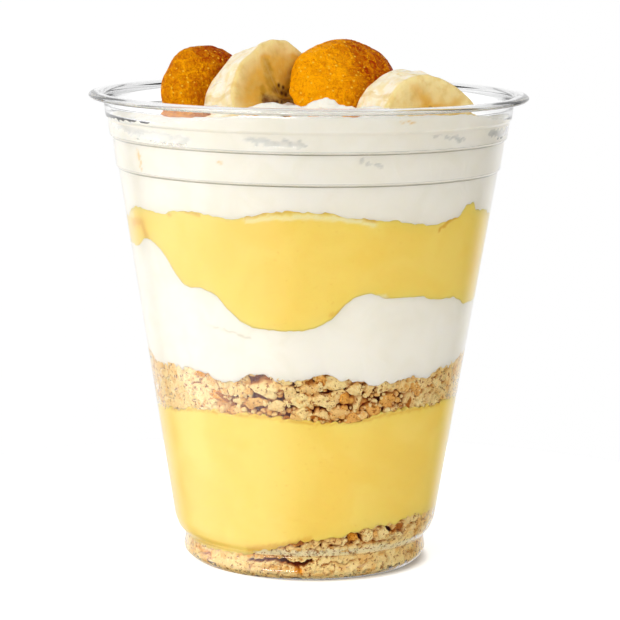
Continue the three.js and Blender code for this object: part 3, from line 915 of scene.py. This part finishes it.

# Two thick slices of peeled banana, cut square across and pushed on edge into the cream.
# Their cut faces look up and to the front right.
#
# Each has its place, how far round from the front and how far up it looks, and its size and form. On
# its face, in its own millimetres, are how brown it is all over, its brown streaks, each a path, a
# half width and a strength, and its seeds. A fibre runs along its side at some degrees.
SLICES = {
    "banana_left": {
        "at": (-6.0, -10.5, 104.0), "round": 34, "up": 15.5,
        "radius": 12.75, "thick": 12.4, "corner": 78, "lobe": 0.045, "seed": 11,
        "brownness": 0.6,
        "streaks": [
            ([(-2.8, 8.8), (-2.4, 6.0), (-1.9, 3.7), (-1.0, 2.0)], 2.0, 0.45),
            ([(-4.2, 2.6), (-2.8, 0.8), (-1.3, -0.4)], 1.4, 0.4),
            ([(-1.2, 2.2), (1.6, 1.2)], 2.4, 0.9),
            ([(-3.8, 0.3), (-0.5, -0.5), (3.2, -1.3)], 2.4, 1.4),
            ([(5.4, 9.5), (4.0, 5.5), (2.4, 2.6)], 1.4, 0.3),
        ],
        "seeds": [(0.0, 3.1), (1.0, 2.6), (2.5, 1.9), (1.5, 1.0), (0.4, 1.4), (-1.0, -0.5), (0.1, -0.5)],
        "fibre": 171,
    },
    "banana_right": {
        "at": (25.9, -24.4, 98.2), "round": 28, "up": 2,
        "radius": 12.6, "thick": 13.2, "corner": 116, "lobe": 0.04, "seed": 23,
        "brownness": 0.2,
        "streaks": [
            ([(-3.4, 9.6), (-1.6, 7.7), (0.4, 5.5)], 2.4, 0.2),
            ([(-1.0, 5.6), (2.4, 4.8), (5.0, 4.4)], 2.2, 0.3),
            ([(7.0, 6.5), (4.6, 4.6)], 1.8, 0.2),
        ],
        "seeds": [(0.3, 5.0), (-2.4, 2.7), (1.4, 1.0), (-1.5, 0.4)],
        "fibre": 140,
    },
}
SEED_HALF = 0.65
SLICE_ROUNDING = 1.2
SLICE_SPACING = 0.3


def turned_face(line, out):
    """The line of (radius, height) carried round a face that looks along +Z, out(turn) times as far out."""
    radius, height = line[:, :1] * out, line[:, 1:] + 0 * turn
    return np.stack([radius * np.cos(turn), radius * np.sin(turn), height], -1)


def set_in_cream(name, local, at, round, up, values):
    """A piece from the points of a face that looks along +Z, leant over to look round from the front
    and up, and moved to its place. It carries the points as they were, as local."""
    a, b = np.radians(round), np.radians(90 - up)
    about_z = np.array([[np.cos(a), -np.sin(a), 0], [np.sin(a), np.cos(a), 0], [0, 0, 1]])
    about_x = np.array([[1, 0, 0], [0, np.cos(b), -np.sin(b)], [0, np.sin(b), np.cos(b)]])
    return turned_piece(name, local @ (about_z @ about_x).T + at, {"local": local, **values})


def banana_slice(name, at, round, up, radius, thick, corner, lobe, seed, brownness, streaks, seeds, fibre):
    """A slice turned from its outline and then pushed out of round: its radius grows by
    lobe cos(3(t - corner)) + 0.01 cos(5t - seed / 10), for a banana's three soft corners, and by soft
    dents. The cut face is uneven."""
    corners = [
        [0.02, -thick],
        [radius * 0.93, -thick],
        [radius, -thick + 1.1],
        [radius, -0.8],
        [radius * 0.95, 0],
        [0.02, -0.4],
    ]
    line = spaced(rounded([[*corner, SLICE_ROUNDING] for corner in corners]), SLICE_SPACING)
    share, height = line[:, :1] / radius, line[:, 1:]
    out = 1 + lobe * np.cos(3 * (turn - np.radians(corner))) + 0.01 * np.cos(5 * turn - seed / 10)
    local = turned_face(line, out)
    dents = 0.55 * soft_noise(local, 4.5, seed) + 0.22 * soft_noise(local, 1.8, seed + 1)
    local[..., :2] *= (1 + share**3 * dents / radius)[..., None]
    rough = 0.25 * soft_noise(local, 3.5, seed + 2) + 0.14 * soft_noise(local, 1.3, seed + 3)
    local[..., 2] += rough * smooth(-2, 0, height)
    x = local[..., 0] + 0.35 * soft_noise(local, 1.1, seed + 4)
    y = local[..., 1] + 0.35 * soft_noise(local, 1.1, seed + 5)
    on_face = brownness * (1 - 0.8 * smooth(0.45, 1.0, share)) + painted(x, y, streaks)
    on_side = around(fibre, 2.5, np.degrees(turn) + 3 * soft_noise(local, 3.0, seed + 6))
    # A seed is drawn out a little, away from the middle.
    dark = [([at_seed, (1.05 * at_seed[0], 1.05 * at_seed[1] + 0.1)], SEED_HALF, 1.0) for at_seed in seeds]
    values = {
        "brownness": np.where(height > -1, on_face, on_side),
        "seed": painted(local[..., 0], local[..., 1], dark) * smooth(-2, -1, height),
    }
    return set_in_cream(name + "_slice", local, at, round, up, values)


def banana_flesh():
    """Ripe banana flesh: moist, satin and slightly translucent. The cut face has rays that run out
    from the middle, brown streaks and dark seeds. The peeled side is paler, with fibres along it."""
    material, tree, brownness, seed = empty_material("banana_flesh", "brownness", "seed")
    # The slice's own place, in millimetres: its face is flat in the first two and the third is along it.
    local = add_node(tree, "Attribute", attribute_name="local")["Vector"]
    split = add_node(tree, "SeparateXYZ", {0: local})
    flat = add_node(tree, "CombineXYZ", {0: split[0], 1: split[1]})[0]
    way = add_node(tree, "VectorMath", {0: flat}, operation="NORMALIZE")["Vector"]
    rays = add_node(tree, "TexNoise", {"Vector": way, "Scale": 5.0, "Detail": 2.0})["Fac"]
    mottle = add_node(tree, "TexNoise", {"Vector": local, "Scale": 0.45, "Detail": 4.0})["Fac"]
    along = add_node(tree, "VectorMath", {0: local, 1: (1.0, 1.0, 0.12)}, operation="MULTIPLY")["Vector"]
    fibres = add_node(tree, "TexNoise", {"Vector": along, "Scale": 0.9, "Detail": 3.0})["Fac"]
    face = coated(tree, "#E9D496", [
        (brownness, "#D9A236", 0.0, 0.5),
        (brownness, "#B8860E", 0.5, 1.0),
        (brownness, "#6E3C04", 1.0, 1.8),
        (mottle, "#D6B05A", 0.45, 0.65, 0.0, 0.45),
        (rays, "#C99C40", 0.5, 0.75, 0.0, 0.2),
        (rays, "#F2DFA8", 0.5, 0.3, 0.0, 0.12),
        (seed, "#3E0E04"),
    ])
    side = coated(tree, "#F8EED8", [
        (mottle, "#F1DEAC", 0.35, 0.65),
        (fibres, "#DDC07A", 0.58, 0.68, 0.0, 0.5),
        (brownness, "#D6B65A", 0.0, 1.0, 0.0, 0.4),
    ])
    colour = mixed_colour(tree, ramp(tree, split[2], -1.3, -0.5), side, face)
    food_surface(tree, colour, mottle, 0.4, 0.0006, {
        "Roughness": 0.45, "IOR": 1.38, "Specular IOR Level": 0.35,
        "Subsurface Weight": 0.3, "Subsurface Radius": (0.003, 0.002, 0.001),
    })
    return material


banana_finish = banana_flesh()
for name, slice_values in SLICES.items():
    finish_piece(banana_slice(name, **slice_values), banana_finish, "banana", name)

# Two small round biscuits, dropped and baked until amber, with a domed top that has crazed in the
# oven. They stand on edge in the cream behind the banana, dome to the front.
#
# Besides their place, lean and size: how brown each is, from its left to its right, partly baked
# and partly painted shade on its right, away from the lamp, and how much its edge has flaked off at
# the lower left.
BISCUITS = {
    "wafer_left": {
        "at": (-22.1, 3.0, 103.3), "round": 30, "up": 22, "radius": 12.0, "thick": 6.0, "seed": 3,
        "brown": (0.34, 0.88), "flaked": 0.0,
    },
    "wafer_right": {
        "at": (8.3, -8.0, 106.1), "round": 20, "up": 36, "radius": 12.8, "thick": 6.4, "seed": 5,
        "brown": (0.0, 0.78), "flaked": 0.9,
    },
}
BISCUIT_EDGE = 1.6
BISCUIT_ROUNDING = 1.6
BISCUIT_SPACING = 0.16


def round_biscuit(name, at, round, up, radius, thick, seed, brown, flaked):
    """A domed disc: its widest edge at the origin and its dome up to thick - edge. It is pushed out of
    round by 0.018 sin(3t + seed) + 0.012 sin(7t + 2 seed) and by noise. Its dome is wrinkled: a fold
    stands up where noise of 1.9 mm crosses zero, and a finer one where noise of 0.9 mm does."""
    dome = thick - BISCUIT_EDGE
    corners = [
        [0.02, -BISCUIT_EDGE],
        [radius * 0.9, -BISCUIT_EDGE],
        [radius, -0.5],
        [radius, 0.4],
        [radius * 0.93, dome * 0.36],
        [radius * 0.76, dome * 0.68],
        [radius * 0.42, dome * 0.94],
        [0.02, dome],
    ]
    line = spaced(rounded([[*corner, BISCUIT_ROUNDING] for corner in corners]), BISCUIT_SPACING)
    share, height = line[:, :1] / radius, line[:, 1:]
    out = 1 + 0.018 * np.sin(3 * turn + seed) + 0.012 * np.sin(7 * turn + 2 * seed)
    local = turned_face(line, out)
    ragged = 0.3 * soft_noise(local, 2.2, seed + 4) + 0.2 * soft_noise(local, 0.9, seed + 5)
    ragged = ragged * (0.3 + flaked * around(205, 35, np.degrees(turn)))
    local[..., :2] *= (1 + share**3 * ragged / radius)[..., None]
    folds = 1 - smooth(0, 0.34, np.abs(soft_noise(local, 1.9, seed)))
    fine = 1 - smooth(0, 0.3, np.abs(soft_noise(local, 0.9, seed + 1)))
    bumps = 0.3 * soft_noise(local, 3.6, seed + 2) + 0.06 * soft_noise(local, 0.45, seed + 3)
    local[..., 2] += smooth(-0.6, 0.6, height) * (0.22 * folds + 0.1 * fine + bumps)
    # Painted light with the bake: it browns towards its right partly as painted shade away from the lamp, and
    # its folds are painted paler, as light on their ridges.
    start, end = brown
    baked = start + (end - start) * smooth(-8, 7, local[..., 0]) + 0.2 * soft_noise(local, 2.8, seed + 6)
    baked = baked - 0.25 * folds + 0.2 * fine + 0.15 * smooth(0.8, 1.02, share)
    return set_in_cream(name + "_biscuit", local, at, round, up, {"baked": np.clip(baked, 0, 1)})


def amber_biscuit():
    """Sweet biscuit baked until amber: dry, with a faint sugar shine and pale specks of about 0.4 mm,
    which are sugar that has stayed on it and also painted glints of that shine."""
    material, tree, baked = empty_material("amber_biscuit", "baked")
    local = add_node(tree, "Attribute", attribute_name="local")["Vector"]
    # Its crumb is swirled over about 1 mm, on the biscuit's own place in millimetres.
    swirled = {"Vector": local, "Scale": 1.1, "Detail": 4.0, "Roughness": 0.6, "Distortion": 1.5}
    grain = add_node(tree, "TexNoise", swirled)["Fac"]
    specks = add_node(tree, "TexVoronoi", {"Vector": local, "Scale": 0.7})["Distance"]
    colour = coated(tree, "#FFA800", [
        # baked carries the bake, the painted shade on the right and the painted light on the folds.
        (baked, "#A02800"),
        (grain, "#A03400", 0.54, 0.75, 0.0, 0.6),
        (grain, "#FFB400", 0.47, 0.32, 0.0, 0.6),
        # Pale specks: sugar, and painted glints of its shine.
        (specks, "#FFC83C", 0.1, 0.24, 0.9, 0.0),
    ])
    food_surface(tree, colour, grain, 0.9, 0.0006, {"Roughness": 0.5, "Specular IOR Level": 0.04})
    return material


amber_finish = amber_biscuit()
for name, biscuit_values in BISCUITS.items():
    finish_piece(round_biscuit(name, **biscuit_values), amber_finish, "biscuit", name)

# The floor: a round white sheet a little larger than the cup, in a white room. It is lit from
# below, so that only the cup's closest shadow shows on it.
FLOOR_RADIUS = 130.0
FLOOR_DROP = 0.02
# In metres: the middle of the part that isn't lit from below, and how far its soft edge is from it.
LIT_MIDDLE = (0.0025, -0.0015, 0.0)
LIT_EDGE = (0.0235, 0.0265)


def joined(tree, first, second, operation="ADD"):
    """The sum, or another combination, of two values."""
    return add_node(tree, "Math", {0: first, 1: second}, operation=operation)[0]


def ray_share(tree, depth):
    """1 for a ray that has bounced in the way that the depth counts, and 0 for the others."""
    return joined(tree, add_node(tree, "LightPath")[depth], 1.0, "MINIMUM")


def mirrored_share(tree):
    """1 for a ray mirrored by a gloss and not scattered by anything matt, and 0 for the others."""
    share = joined(tree, ray_share(tree, "Glossy Depth"), ray_share(tree, "Diffuse Depth"), "SUBTRACT")
    return joined(tree, share, 0.0, "MAXIMUM")


floor_ring = ring_points(FLOOR_RADIUS, -FLOOR_DROP + 0 * turn)
floor = new_mesh("floor", floor_ring, np.arange(COLUMNS), np.array([COLUMNS]), {})
floor_finish, tree = empty_material("white_sheet")
place = add_node(tree, "TexCoord")["Object"]
tooth = add_node(tree, "TexNoise", {"Vector": place, "Scale": 500.0})["Fac"]
paper = mixed_colour(tree, tooth, "#F7F7F6", "#F4F4F3")
matt = add_node(tree, "BsdfDiffuse", {"Color": paper})
out = add_node(tree, "VectorMath", {0: place, 1: LIT_MIDDLE}, operation="DISTANCE")["Value"]
glow = add_node(tree, "Emission", {"Color": paper, "Strength": ramp(tree, out, *LIT_EDGE, 0.0, 0.6)})
both = add_node(tree, "AddShader", {0: matt[0], 1: glow[0]})
unseen = add_node(tree, "BsdfTransparent")
# The cup does not mirror it, as if black cards lay round the cup just out of the picture.
shown = add_node(tree, "MixShader", {0: mirrored_share(tree), 1: both[0], 2: unseen[0]})
add_node(tree, "OutputMaterial", {"Surface": shown[0]})
floor.data.materials.append(floor_finish)

# The light: a white room with a large soft lamp at the front left and a weak one at the front
# right, so that the custard is palest on its left and the shadow falls to the right.
scene = bpy.context.scene
world = bpy.data.worlds.new("studio")
scene.world = world
world.use_nodes = True
tree = world.node_tree
tree.nodes.clear()
way = add_node(tree, "TexCoord")["Generated"]


def lit_side(direction, low, high, strength):
    """Light from around a direction: the strength times a soft step of way . direction from low to high."""
    along = add_node(tree, "VectorMath", {0: way, 1: direction}, operation="DOT_PRODUCT")["Value"]
    return ramp(tree, along, low, high, 0.0, strength)


# Walls all round up to 25 degrees, a paler left and a dim ceiling light what is matt or seen through the cup.
above = lit_side((0.0, 0.0, 1.0), 0.35, 0.6, -0.6)
below = lit_side((0.0, 0.0, -1.0), 0.35, 0.6, -0.6)
left = lit_side((-1.0, 0.0, 0.0), 0.0, 0.9, 0.15)
walls = joined(tree, joined(tree, joined(tree, above, below), left), 1.0)
# The cup's gloss shows a lamp at the left, one low at the front left, a white sheet behind and a dim
# ceiling, and black cards elsewhere, which keep it from greying what is behind it. Each is a
# direction, the cosines at which its light starts and is full, and its strength.
CARD_SHINE = 0.04
GLOSS = [
    ((-0.95, 0.2, 0.2), 0.35, 0.9, 0.8),
    ((-0.85, -0.35, -0.4), 0.5, 0.95, 1.2),
    ((0.0, 1.0, 0.0), 0.6, 0.92, 0.9),
    ((0.0, 0.0, 1.0), 0.3, 0.9, 0.3),
]
gloss = CARD_SHINE
for direction, low, high, strength in GLOSS:
    gloss = joined(tree, lit_side(direction, low, high, strength), gloss)
# A bright strip low at the front makes the white streak on the foot. These are its top, bottom and ends.
STRIP_STRENGTH = 14.0
strip = STRIP_STRENGTH
for direction, low, high in (
    ((0.0, 0.0, -1.0), 0.17, 0.21),
    ((0.0, 0.0, 1.0), -0.33, -0.29),
    ((-0.38, -0.89, -0.25), 0.955, 0.97),
):
    strip = joined(tree, strip, lit_side(direction, low, high, 1.0), "MULTIPLY")
gloss = joined(tree, gloss, strip)
# What is seen straight through the cup is brighter by what the wall mirrors away.
MIRRORED_AWAY = 0.25
mirrored = mirrored_share(tree)
straight = joined(tree, ray_share(tree, "Transmission Depth"), ray_share(tree, "Diffuse Depth"), "SUBTRACT")
straight = joined(tree, joined(tree, straight, mirrored, "SUBTRACT"), 0.0, "MAXIMUM")
walls = joined(tree, walls, joined(tree, straight, MIRRORED_AWAY, "MULTIPLY"))
choice = add_node(tree, "Mix", {0: mirrored, 2: walls, 3: gloss})[0]
seen = joined(tree, choice, add_node(tree, "LightPath")["Is Camera Ray"], "MAXIMUM")
room = add_node(tree, "Background", {"Color": "#FFFFFF", "Strength": seen})
add_node(tree, "OutputWorld", {"Surface": room[0]})
# The lamps: how strong, how far round from the front to the left, how high, and how wide they look.
for name, energy, leftward, high, width in (("key_lamp", 1.2, 45, 36, 34), ("fill_lamp", 0.55, -50, 32, 60)):
    lamp = bpy.data.lights.new(name, "SUN")
    lamp.energy = energy
    lamp.angle = np.radians(width)
    lamp_object = bpy.data.objects.new(name, lamp)
    lamp_object.rotation_euler = (np.radians(90 - high), 0, np.radians(-leftward))
    scene.collection.objects.link(lamp_object)
scene.view_settings.view_transform = "Standard"

# The camera: at the photograph's place, a little above the rim and 0.6 m away, slightly rolled.
CAMERA_AT = np.array([0.0, -601.0, 150.4])
CAMERA_AIM = np.array([0.72, 0.0, 55.9])
FOCAL_LENGTH = 157.0
SENSOR = 36.0
ROLL = np.radians(0.589)
forward = (CAMERA_AIM - CAMERA_AT) / np.linalg.norm(CAMERA_AIM - CAMERA_AT)
level_right = np.cross(forward, [0, 0, 1])
level_right /= np.linalg.norm(level_right)
level_up = np.cross(level_right, forward)
camera_right = np.cos(ROLL) * level_right + np.sin(ROLL) * level_up
camera_up = np.cos(ROLL) * level_up - np.sin(ROLL) * level_right
camera = bpy.data.objects.new("camera", bpy.data.cameras.new("camera"))
camera.data.lens = FOCAL_LENGTH
camera.data.sensor_width = SENSOR
placement = np.eye(4)
placement[:3, :3] = np.stack([camera_right, camera_up, -forward], -1)
placement[:3, 3] = CAMERA_AT * MM
scene.collection.objects.link(camera)
camera.matrix_world = placement.T.tolist()
scene.camera = camera
